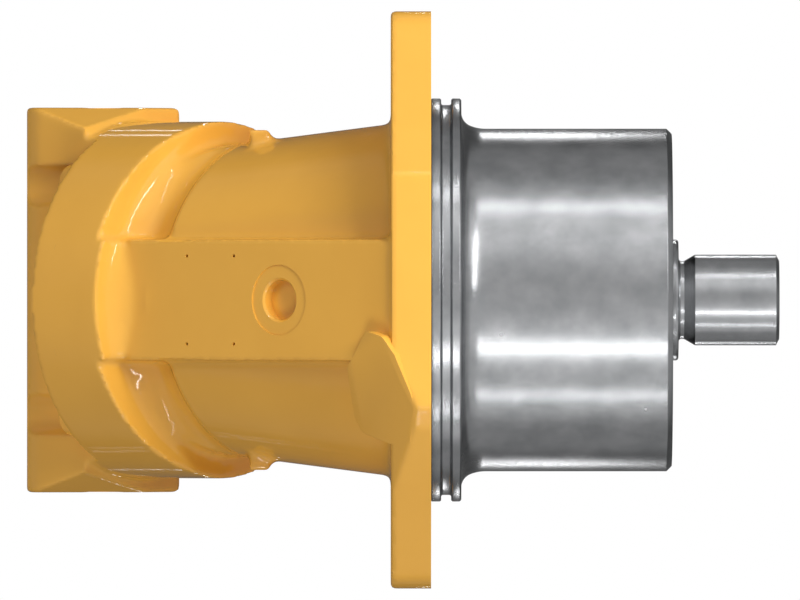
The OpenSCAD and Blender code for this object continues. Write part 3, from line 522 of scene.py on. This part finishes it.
# %% Turning the barrel
SPIGOT_R = 100
GROOVE_R = 96.75
BARREL_R = 85
BARREL_END = 119.4
section = [(0, DRIVE_CAVITY_R), (0, 99.6), (0.4, SPIGOT_R), (4.4, SPIGOT_R), (5, 99.4), (5, GROOVE_R + 0.6)]
section += [(5.6, GROOVE_R), (9.4, GROOVE_R), (10, GROOVE_R + 0.6), (10, 99.4), (10.6, SPIGOT_R)]
section += [(14.2, SPIGOT_R), (15, 99.2)]
section += arc((22.2, 93.13), 7.2, 180, 248, 10) + arc((27, 105), 20, 248, 270, 5)[1:]
section += [(116.8, BARREL_R), (BARREL_END, 82.4), (BARREL_END, BEARING_R + 1.5)]
section += [(BARREL_END - 1.5, BEARING_R), (114.04, BEARING_R), (114.04, BEARING_R + 2)]
section += [(110, BEARING_R + 2), (110, BEARING_R), (2, BEARING_R), (2, DRIVE_CAVITY_R)]
barrel = turned("housing_barrel", section, 160)
bevelled(barrel, 0.25, 25)
print("barrel:", len(barrel.data.polygons), "faces")

# %% [markdown]
# ## The port plate
#
# The second casting closes the rim: a round flange, and across it the port block, whose front corners
# fall away on two slanted faces. Four wells give room to the screws' heads. Each corner at the block's
# ends is started by three flat cuts, which the skin melts into one arc.

# %% Casting the port plate
HALF_BLOCK = 38
HALF_SPAN = 96.2
BLOCK_FRONT = 160.5
SLANT = 41.8
BLOCK_OUTLINE = [(BLOCK_FRONT, -HALF_BLOCK), (PLATE_REAR, -HALF_BLOCK), (PLATE_REAR, HALF_BLOCK),
                 (BLOCK_FRONT, HALF_BLOCK)]
PLATE_GRID = 1.25
plate = rod("port_plate_casting", JOINT - 3, SCREW_SEAT, RIM_R, steps=160)
block = prism("port_block", rounded(BLOCK_OUTLINE, [6, 22, 22, 0], 12), 2 * HALF_SPAN,
              Matrix.Translation((0, 0, -HALF_SPAN * MM)))
block_foot = rod("block_foot", JOINT, BLOCK_FRONT + 1, RIM_R, steps=160)
for near in (-1, 1):
    cut_off(block_foot, (0, near * HALF_BLOCK * MM, 0), (0, near, 0))
combined(block, block_foot, "UNION")
for up in (-1, 1):
    slanted = Vector((-0.287, 0.204, 0.936 * up))
    cut_off(block, slanted.normalized() * SLANT * MM / slanted.length, slanted)
wells = [rod("well", SCREW_SEAT, PLATE_REAR + 4, 11.2, at_screw(near, up), steps=64)
         for near in (-1, 1) for up in (-1, 1)]
combined(block, joined(*wells), "DIFFERENCE")
for up in (-1, 1):
    for corner, side, size in ((-HALF_BLOCK, -1, 7), (HALF_BLOCK, 1, 3)):
        for angle in (22.5, 45, 67.5):
            slope = Vector((0, side * math.cos(math.radians(angle)), up * math.sin(math.radians(angle))))
            centre = Vector((0, corner - side * size, up * (HALF_SPAN - size)))
            cut_off(block, (centre + slope * size) * MM, slope)
joined(plate, block)
cast(plate, PLATE_GRID, 3, [(1, 6)])

# %% [markdown]
# The plate is machined like the housing. A register collar slides into the rim and centres the plate, and
# each end of the block has a tapped work port with a narrower passage behind it.

# %% Machining the port plate
cut_off(plate, (JOINT * MM, 0, 0), (-1, 0, 0))
collar = turned("collar", [(126, 49), (126, 59.45), (126.5, 59.95), (131, 59.95), (131, 56), (135, 56),
                           (135, 59.95), (JOINT + 1, 59.95), (JOINT + 1, 20), (134, 20), (134, 49)], 96)
combined(plate, collar, "UNION")
PORT = 186
MOUTHS = {up: Matrix.Translation((PORT * MM, 0, 0)) @ Matrix.Rotation(-up * math.pi / 2, 4, "Y")
          for up in (-1, 1)}
drills = []
for up, mouth in MOUTHS.items():
    section = [(HALF_SPAN - 24, 0)] + thread(HALF_SPAN - 24, HALF_SPAN + 2, 15.5, 2) + [(HALF_SPAN + 2, 0)]
    drills.append(turned("port_thread", section, 72, mouth))
    for near in (-1, 1):
        drills.append(rod("screw_hole", JOINT - 4, SCREW_SEAT + 6, 7.3, at_screw(near, up), steps=48))
combined(plate, joined(*drills), "DIFFERENCE")
drills = []
for mouth in MOUTHS.values():
    drills.append(rod("port_chamfer", HALF_SPAN - 2.5, HALF_SPAN + 1, 14.5, mouth, end_radius=18, steps=72))
    drills.append(rod("port_passage", 30, HALF_SPAN - 23, 12.5, mouth, steps=72))
combined(plate, joined(*drills), "DIFFERENCE")
placed(plate, SWING)
print("port plate:", len(plate.data.polygons), "faces")

# %% [markdown]
# ## Onto the model
#
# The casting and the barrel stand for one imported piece, the housing, and the port plate for its own.
# Each keeps still with the housing's body. Shading is smooth over soft edges and stays hard at machined
# ones.

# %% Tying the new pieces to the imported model
for piece, node, finish in ((casting, "housing", "yellow_enamel"), (barrel, "housing", "ground_steel"),
                            (plate, "port_plate", "yellow_enamel")):
    alone(piece)
    bpy.ops.object.shade_smooth_by_angle(angle=math.radians(32))
    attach(piece, "housing")
    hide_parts(node)

# %% [markdown]
# ## Finishes
#
# Colours are written as sRGB hex values, as a paint card or a photo editor gives them, and one function
# turns them to the linear values that the shader needs. Another adds a node with its settings and its
# links.

# %% Two helpers for materials
def linear(colour):
    parts = [int(colour[k:k + 2], 16) / 255 for k in (1, 3, 5)]
    return [v / 12.92 if v <= 0.04045 else ((v + 0.055) / 1.055) ** 2.4 for v in parts] + [1]


def add(tree, kind, links={}, values={}, **settings):
    made = tree.nodes.new(kind)
    for key, value in settings.items():
        setattr(made, key, value)
    for key, value in values.items():
        made.inputs[key].default_value = value
    for key, source in links.items():
        tree.links.new(source, made.inputs[key])
    return made


def blank(name):
    """A new material with its own shader, and where the piece's own metres are read."""
    made = bpy.data.materials.new(name)
    made.use_nodes = True
    tree = made.node_tree
    tree.nodes.clear()
    shader = add(tree, "ShaderNodeBsdfPrincipled")
    add(tree, "ShaderNodeOutputMaterial", {"Surface": shader.outputs[0]})
    return made, tree, shader, add(tree, "ShaderNodeTexCoord").outputs["Object"]


print("enamel yellow in linear:", [round(v, 3) for v in linear("#E9AD4C")])

# %% [markdown]
# ### Yellow enamel on sand-cast iron
#
# A thick two-coat enamel sprayed over the raw casting. The sand's grain, 1 to 2 mm, is filled and
# softened by the paint, which adds a longer ripple of its own, the orange peel. The eye sees a warm even
# yellow whose highlights break up a little. Enamel's IOR is 1.5, and a fresh gloss coat's roughness
# stays under 0.1.

# %% Yellow enamel
enamel, tree, shader, place = blank("yellow_enamel_on_cast_iron")
grain = add(tree, "ShaderNodeTexNoise", {"Vector": place}, {"Scale": 620, "Detail": 3, "Roughness": 0.55})
ripple = add(tree, "ShaderNodeTexNoise", {"Vector": place}, {"Scale": 150, "Detail": 1})
waves = add(tree, "ShaderNodeTexNoise", {"Vector": place}, {"Scale": 38, "Detail": 2})
sand = add(tree, "ShaderNodeBump", {"Height": grain.outputs[0]}, {"Strength": 0.12, "Distance": 0.00012})
peel = add(tree, "ShaderNodeBump", {"Height": ripple.outputs[0], "Normal": sand.outputs[0]},
           {"Strength": 0.1, "Distance": 0.0003})
dent = add(tree, "ShaderNodeBump", {"Height": waves.outputs[0], "Normal": peel.outputs[0]},
           {"Strength": 0.12, "Distance": 0.0009})
cloud = add(tree, "ShaderNodeTexNoise", {"Vector": place}, {"Scale": 24, "Detail": 3})
shade = add(tree, "ShaderNodeValToRGB", {"Fac": cloud.outputs[0]})
shade.color_ramp.elements[0].position, shade.color_ramp.elements[0].color = 0.3, linear("#E7AB43")
shade.color_ramp.elements[1].position, shade.color_ramp.elements[1].color = 0.7, linear("#EBAF46")
gloss = add(tree, "ShaderNodeMapRange", {"Value": cloud.outputs[0]}, {"To Min": 0.05, "To Max": 0.09})
for socket, source in (("Base Color", shade), ("Roughness", gloss), ("Normal", dent)):
    tree.links.new(source.outputs[0], shader.inputs[socket])
shader.inputs["IOR"].default_value = 1.5
print(enamel.name, len(tree.nodes), "nodes")

# %% [markdown]
# ### Ground and turned steel
#
# The barrel, the spigot and the shaft are turned and then ground on cylindrical grinders. The wheel
# leaves very fine rings round the axis, a few hundredths of a millimetre apart; they are drawn 0.8 mm
# apart so that they show. Handling and a thin film of oil leave cloudy patches of about 14 mm, where
# tone and gloss change a little.

# %% Ground steel
ground, tree, shader, place = blank("ground_steel")
cloud = add(tree, "ShaderNodeTexNoise", {"Vector": place}, {"Scale": 70, "Detail": 3})
stretch = add(tree, "ShaderNodeMapping", {"Vector": place}, {"Scale": (1200, 5, 5)})
rings = add(tree, "ShaderNodeTexNoise", {"Vector": stretch.outputs[0]}, {"Scale": 1, "Detail": 2})
shade = add(tree, "ShaderNodeValToRGB", {"Fac": cloud.outputs[0]})
shade.color_ramp.elements[0].position, shade.color_ramp.elements[0].color = 0.3, linear("#ACAEB0")
shade.color_ramp.elements[1].position, shade.color_ramp.elements[1].color = 0.7, linear("#BFC0C2")
gloss = add(tree, "ShaderNodeMapRange", {"Value": cloud.outputs[0]},
            {"From Min": 0.2, "From Max": 0.8, "To Min": 0.23, "To Max": 0.28})
turn_marks = add(tree, "ShaderNodeBump", {"Height": rings.outputs[0]},
                 {"Strength": 0.1, "Distance": 0.001 * MM})
for socket, source in (("Base Color", shade), ("Roughness", gloss), ("Normal", turn_marks)):
    tree.links.new(source.outputs[0], shader.inputs[socket])
shader.inputs["Metallic"].default_value = 1
print(ground.name, len(tree.nodes), "nodes")

# %% [markdown]
# ### The other metals, and rubber
#
# They differ in colour, in gloss and in the size of their marks, so one table holds them. Each row gives
# two tones, metallic, two roughness values, the size of the cloudy patches in millimetres, and the depth of
# the marks in hundredths of a millimetre. The marks are a fifth as large as the patches.

# %% A table of finishes
FINISHES = {
    # black oxide: a hot salt bath leaves a thin, dark, slightly blue skin, oiled and half matt
    "black_oxide_steel": ("#2B2C2E", "#3A3B3D", 1, 0.34, 0.5, 5, 0.6),
    # nitrile rubber: moulded, matt, with a faint bloom
    "nitrile_rubber": ("#141415", "#1E1E1F", 0, 0.5, 0.65, 2, 0.8),
    # through-hardened bearing steel: ground and honed almost to a mirror
    "bearing_steel": ("#C2C4C6", "#CDCFD0", 1, 0.12, 0.2, 6, 0.05),
    # pressed sheet steel: tumbled after pressing, so softly matt
    "pressed_sheet_steel": ("#8F9194", "#A5A7A9", 1, 0.34, 0.48, 3, 0.8),
    # cast and faced bronze, warm and slightly dulled
    "bronze": ("#B08A52", "#C09A60", 1, 0.26, 0.4, 5, 0.3),
    # nitrided block: grey, very fine and even
    "hardened_block_steel": ("#85888B", "#989B9D", 1, 0.26, 0.38, 7, 0.3),
    # drawn and tempered spring wire: brown-grey and smooth
    "spring_steel": ("#5B5A59", "#6E6C69", 1, 0.28, 0.4, 4, 0.2),
}
finish = {"yellow_enamel": enamel, "ground_steel": ground}
for name, (dark, light, metallic, smooth, matt, size, depth) in FINISHES.items():
    made, tree, shader, place = blank(name)
    cloud = add(tree, "ShaderNodeTexNoise", {"Vector": place}, {"Scale": 1000 / size, "Detail": 3})
    shade = add(tree, "ShaderNodeValToRGB", {"Fac": cloud.outputs[0]})
    shade.color_ramp.elements[0].position, shade.color_ramp.elements[0].color = 0.35, linear(dark)
    shade.color_ramp.elements[1].position, shade.color_ramp.elements[1].color = 0.65, linear(light)
    gloss = add(tree, "ShaderNodeMapRange", {"Value": cloud.outputs[0]}, {"To Min": smooth, "To Max": matt})
    marks = add(tree, "ShaderNodeTexNoise", {"Vector": place}, {"Scale": 5000 / size, "Detail": 2})
    bump = add(tree, "ShaderNodeBump", {"Height": marks.outputs[0]},
               {"Strength": 0.5, "Distance": depth * 0.01 * MM})
    for socket, source in (("Base Color", shade), ("Roughness", gloss), ("Normal", bump)):
        tree.links.new(source.outputs[0], shader.inputs[socket])
    shader.inputs["Metallic"].default_value = metallic
    finish[name] = made
print("finishes:", ", ".join(finish))

# %% [markdown]
# ## Dressing every piece
#
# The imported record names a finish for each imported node, so the whole assembly is dressed in one loop.
# The three new pieces follow, and the faces that are machined after painting, such as the mounting face
# and the bores, get the bare metal.

# %% Finishes onto pieces
for row in frame["record"]["subparts"]:
    for holder in frame["nodes"][row["node"]].material_slots:
        holder.material = finish[row["material_slot"]]
for piece in (casting, barrel, plate):
    piece.data.materials.clear()
casting.data.materials.append(enamel)
casting.data.materials.append(ground)
plate.data.materials.append(enamel)
plate.data.materials.append(ground)
barrel.data.materials.append(ground)


def bare_metal(piece, machined):
    count = 0
    for face in piece.data.polygons:
        bent = SWING.inverted() @ face.center / MM
        if machined(face.center / MM, bent, math.hypot(bent.y, bent.z)):
            face.material_index = 1
            count += 1
    print(piece.name, "bare faces:", count)


bare_metal(casting, lambda p, bent, r: p.x > -0.02 or (0.1 < bent.x < JOINT - 0.02 and r < CAVITY_R + 0.1)
           or (p.x > -45 and math.hypot(p.y, p.z) < DRIVE_CAVITY_R + 0.1) or bent.x > JOINT - 0.02)
THREAD_R = 16.6
bare_metal(plate, lambda p, bent, r: bent.x < JOINT + 0.02
           or (abs(p.z) < HALF_SPAN - 2.6 and math.hypot(bent.x - PORT, bent.y) < THREAD_R))

# %% [markdown]
# ## The studio
#
# The photograph is a catalogue cut-out: pure white behind and no shadow. It is seen from so far away
# that lines stay parallel, so the lens is very long. Its paint is lit from many sides, as in a white
# tent, and its steel shows long bright and dark bands that run along the barrel. One light can't be
# right for both, so the light is shared out: square cards light the paint and don't show in reflections,
# while thin strips and a banded sky show in reflections alone. A dim even sky fills in the rest.

# %% Camera
SENSOR, LENS, AWAY = 36, 1200, 13.233
bpy.ops.object.select_all(action="DESELECT")
bpy.ops.object.camera_add(location=(-0.0154, -AWAY, 0), rotation=(math.pi / 2, 0, 0))
camera = bpy.context.object
camera.name = "catalogue_camera"
camera.data.lens = LENS
camera.data.sensor_width = SENSOR
camera.data.clip_end = 100
bpy.context.scene.camera = camera
bpy.context.scene.view_settings.view_transform = "Standard"
print("frame width at the object, mm:", round(SENSOR / LENS * AWAY / MM, 1))

# %% [markdown]
# A card is a square lamp 3 m away. Cards in front and to the right are the strongest, as the bright flange
# and the darker lower faces tell, and two strong ones behind light the edges.

# %% Soft lights for the paint
def soft_light(name, towards, power, width, height, distance=3):
    """An area light that faces the motor from a direction."""
    towards = Vector(towards).normalized()
    bpy.ops.object.select_all(action="DESELECT")
    bpy.ops.object.light_add(type="AREA", location=towards * distance)
    light = bpy.context.object
    light.name = name
    light.rotation_euler = towards.to_track_quat("Z", "Y").to_euler()
    light.data.shape = "RECTANGLE"
    light.data.size, light.data.size_y = width, height
    light.data.energy = power
    return light


# name, direction from the motor, watts, side of the square in metres
CARDS = [("key_card", (0.5, -0.8, 0.4), 63, 1), ("right_card", (0.85, -0.52, 0.12), 22, 0.9),
         ("right_top_card", (0.7, -0.5, 0.5), 22, 1), ("top_card", (0.17, -0.73, 0.66), 16, 1.3),
         ("left_top_card", (-0.7, -0.5, 0.5), 17, 1), ("roof_card", (-0.3, -0.3, 0.9), 7, 1),
         ("low_card", (-0.13, -0.75, -0.64), 30, 1), ("ground_card", (0.1, -0.3, -0.95), 13, 1),
         ("left_card", (-0.88, 0.32, -0.1), 6, 1), ("back_card", (0.25, 0.95, 0.2), 110, 1.2),
         ("back_left_card", (-0.6, 0.8, 0.1), 50, 1)]
for name, towards, power, size in CARDS:
    soft_light(name, towards, power, size, size).visible_glossy = False
print("cards:", len(CARDS))

# %% [markdown]
# A strip shows on a cylinder as a line, where the surface turns it towards the camera. The lines on the
# rim need lights behind the motor. Those stand 9 m away, because there the rim and the neck mirror
# different places, and the neck stays plain.

# %% Thin strips for the highlights
# degrees over the top from the camera's side, watts, length along X, width, middle in X, distance if not 3
STRIPS = [(64.8, 6, 2.5, 0.03, 0), (-32.4, 12.5, 2.5, 0.03, 0), (-66.8, 5.6, 2.5, 0.03, 0),
          (147, 1, 0.22, 0.06, 0.11), (142.5, 0.7, 0.14, 0.15, 0.13),
          (-145.5, 0.85, 0.22, 0.03, 0.11), (-139.5, 0.5, 0.14, 0.22, 0.13),
          (151.8, 0.5, 0.08, 0.45, -1.054, 9), (145.9, 0.6, 0.08, 0.54, -1.507, 9),
          (-152.3, 0.28, 0.08, 0.27, -1.024, 9),
          (-131.7, 0.006, 0.05, 0.03, -1.13), (-134.4, 0.007, 0.05, 0.03, -1.02)]
for angle, power, length, width, middle, *distance in STRIPS:
    up = math.radians(angle)
    strip = soft_light("strip", (0, -math.cos(up), math.sin(up)), power, length, width, *distance)
    strip.location.x = middle
    strip.rotation_euler = (math.pi / 2 - up, 0, 0)
    strip.visible_diffuse = False
side_strip = soft_light("side_strip", (0.5, -0.76, 0.42), 12, 0.12, 1.7)
side_strip.visible_diffuse = False
print("strips:", len(STRIPS) + 1)

# %% [markdown]
# The sky's bands are read from a ray's direction: its angle over the top gives the tone, and towards the
# motor's two ends the bands fade to an even grey. The camera itself sees plain white.

# %% The sky
world = bpy.data.worlds.new("studio_sky")
bpy.context.scene.world = world
world.cycles.sampling_method = "NONE"
world.use_nodes = True
tree = world.node_tree
tree.nodes.clear()
way = add(tree, "ShaderNodeTexCoord")
split = add(tree, "ShaderNodeSeparateXYZ", {0: way.outputs["Generated"]})
nearness = add(tree, "ShaderNodeMath", {0: split.outputs["Y"]}, {1: -1}, operation="MULTIPLY")
height = add(tree, "ShaderNodeMath", {0: split.outputs["Z"], 1: nearness.outputs[0]}, operation="ARCTAN2")
turn = add(tree, "ShaderNodeMapRange", {"Value": height.outputs[0]},
           {"From Min": -math.pi, "From Max": math.pi})
bands = add(tree, "ShaderNodeValToRGB", {"Fac": turn.outputs[0]})
# degrees over the top from the camera's side, and the sky's brightness there
BANDS = [(-180, 0.1), (-150, 0.08), (-130, 0.08), (-120, 0.3), (-90, 0.3), (-84, 0.6), (-42, 0.62),
         (-36, 0.72), (-14, 0.7), (0, 0.56), (13, 0.48), (24, 0.6), (36, 0.92), (42, 1), (56, 1), (62, 0.75),
         (82, 0.5), (90, 0.32), (120, 0.3), (130, 0.08), (150, 0.08), (180, 0.1)]
ramp = bands.color_ramp
for angle, value in BANDS[1:-1]:
    ramp.elements.new((angle + 180) / 360)
for stop, (angle, value) in zip(ramp.elements, BANDS):
    stop.position = (angle + 180) / 360
    stop.color = (value, value, value, 1)
side = add(tree, "ShaderNodeMath", {0: split.outputs["X"]}, operation="ABSOLUTE")
ends = add(tree, "ShaderNodeMapRange", {"Value": side.outputs[0]}, {"From Min": 0.7, "From Max": 1})
END_GREY, FILL = 0.4, 0.085
evened = add(tree, "ShaderNodeMix", {0: ends.outputs[0], 6: bands.outputs[0]}, {7: (END_GREY,) * 3 + (1,)},
             data_type="RGBA")
path = add(tree, "ShaderNodeLightPath")
glossy = add(tree, "ShaderNodeMix", {0: path.outputs["Is Glossy Ray"], 7: evened.outputs[2]},
             {6: (FILL,) * 3 + (1,)}, data_type="RGBA")
seen = add(tree, "ShaderNodeMix", {0: path.outputs["Is Camera Ray"], 6: glossy.outputs[2]}, {7: (1, 1, 1, 1)},
           data_type="RGBA")
sky = add(tree, "ShaderNodeBackground", {"Color": seen.outputs[2]})
add(tree, "ShaderNodeOutputWorld", {"Surface": sky.outputs[0]})
print("bands in the sky:", len(ramp.elements))

# %% [markdown]
# White paper under the motor is there for other views. From the camera's height only its edge could
# show, and the white behind hides that.

# %% The floor
bpy.ops.object.select_all(action="DESELECT")
bpy.ops.mesh.primitive_circle_add(vertices=96, radius=0.94, fill_type="NGON", location=(0, 0, -0.16))
floor = bpy.context.object
floor.name = "floor"
floor.visible_glossy = floor.visible_diffuse = floor.visible_shadow = False
white, _, shader, _ = blank("white_paper")
shader.inputs["Base Color"].default_value = linear("#F2F2F0")
shader.inputs["Roughness"].default_value = 0.8
floor.data.materials.append(white)
floor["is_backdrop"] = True
print("floor:", round(floor.dimensions.x, 2), "m across")

# %% [markdown]
# ## The sizes, and the end
#
# The dressed model has to fill the same box as the imported one, so the dressed model's box is printed.

# %% Printing the dressed model's box
dressed_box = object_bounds()
for name, corner in (("low", dressed_box[0]), ("high", dressed_box[1])):
    print("dressed model,", name, "corner, mm:", [round(v / MM, 1) for v in corner])
